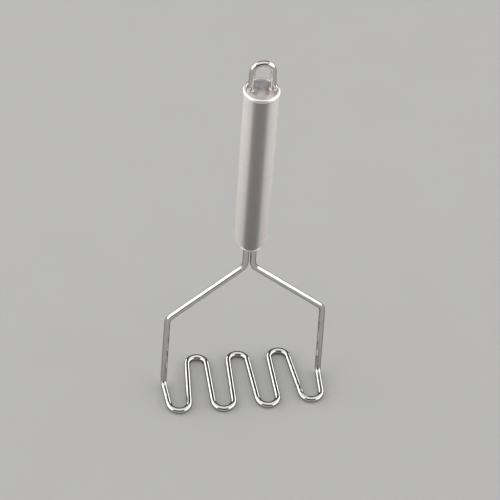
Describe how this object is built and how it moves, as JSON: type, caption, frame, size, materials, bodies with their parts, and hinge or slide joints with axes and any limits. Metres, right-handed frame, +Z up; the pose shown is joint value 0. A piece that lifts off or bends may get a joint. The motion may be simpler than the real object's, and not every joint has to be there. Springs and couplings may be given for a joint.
{
  "type": "potato masher",
  "caption": "Upright wire potato masher: one bent rod makes a serpentine foot, posts and shoulders under a round hollow handle with a hanging loop.",
  "frame": {"origin": "on the floor under the middle of the foot: the bottom centre of the bounding box", "axes": "+Z up along the handle, +X across the foot in the plane of the posts, +Y away from the side with the four front turns of the foot. The handle's axis stands 3.7 mm behind the origin, and the masher mirrors about X = 0."},
  "size_m": [0.1112, 0.0528, 0.2808],
  "materials": {
    "polished_rod": "polished",
    "polished_trim": "polished",
    "satin_tube": "satin",
    "plain_steel": "satin",
    "weld_metal": "satin"
  },
  "bodies": {
    "root": {"mashing_wire": "polished_rod", "handle_tube": "satin_tube", "mouth_collar": "polished_trim", "anchor_disc": "plain_steel", "shank_weld": "weld_metal", "end_cap": "polished_trim", "hanging_loop": "polished_rod", "loop_welds": "weld_metal"}
  },
  "joints": []
}
